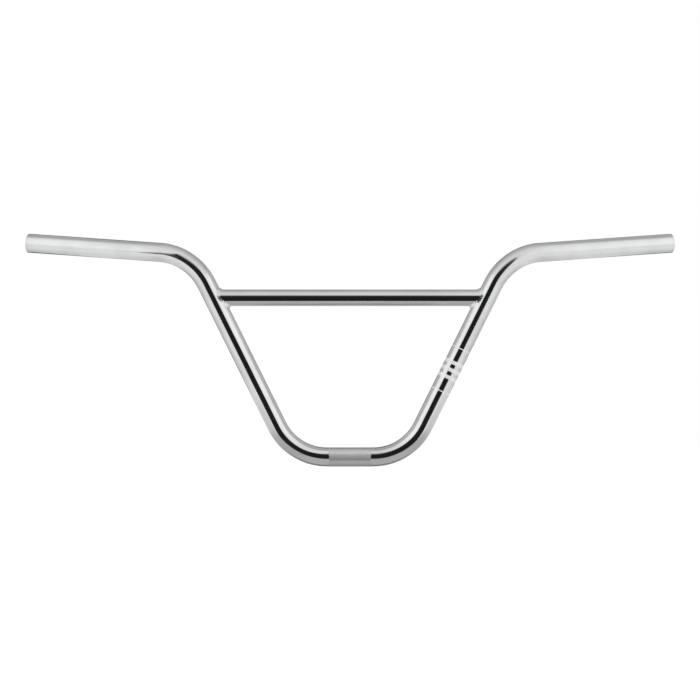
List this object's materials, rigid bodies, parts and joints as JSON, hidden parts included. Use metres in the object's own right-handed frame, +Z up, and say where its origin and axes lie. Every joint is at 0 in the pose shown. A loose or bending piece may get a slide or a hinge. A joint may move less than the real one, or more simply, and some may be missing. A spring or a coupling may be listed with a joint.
{
  "type": "bmx handlebar",
  "caption": "Chromed steel bicycle handlebar: a tall bent tube with swept-back grip ends, a knurled clamp zone and a welded crossbar.",
  "frame": {"origin": "middle of the knurled clamp zone, on the axis of the tube", "axes": "+X along the clamp zone to the rider's left, which is the picture's right; +Y to the rear, away from the camera; +Z up, in the plane of the legs"},
  "size_m": [0.762, 0.0634, 0.2721],
  "materials": {
    "main_tube": "polished chrome plate, with a matte knurled clamp zone",
    "crossbar": "polished chrome plate",
    "weld": "chrome plate over a rippled weld"
  },
  "bodies": {
    "root": {"main_tube": "main_tube", "crossbar": "crossbar", "weld_bead_left": "weld", "weld_bead_right": "weld"}
  },
  "joints": []
}
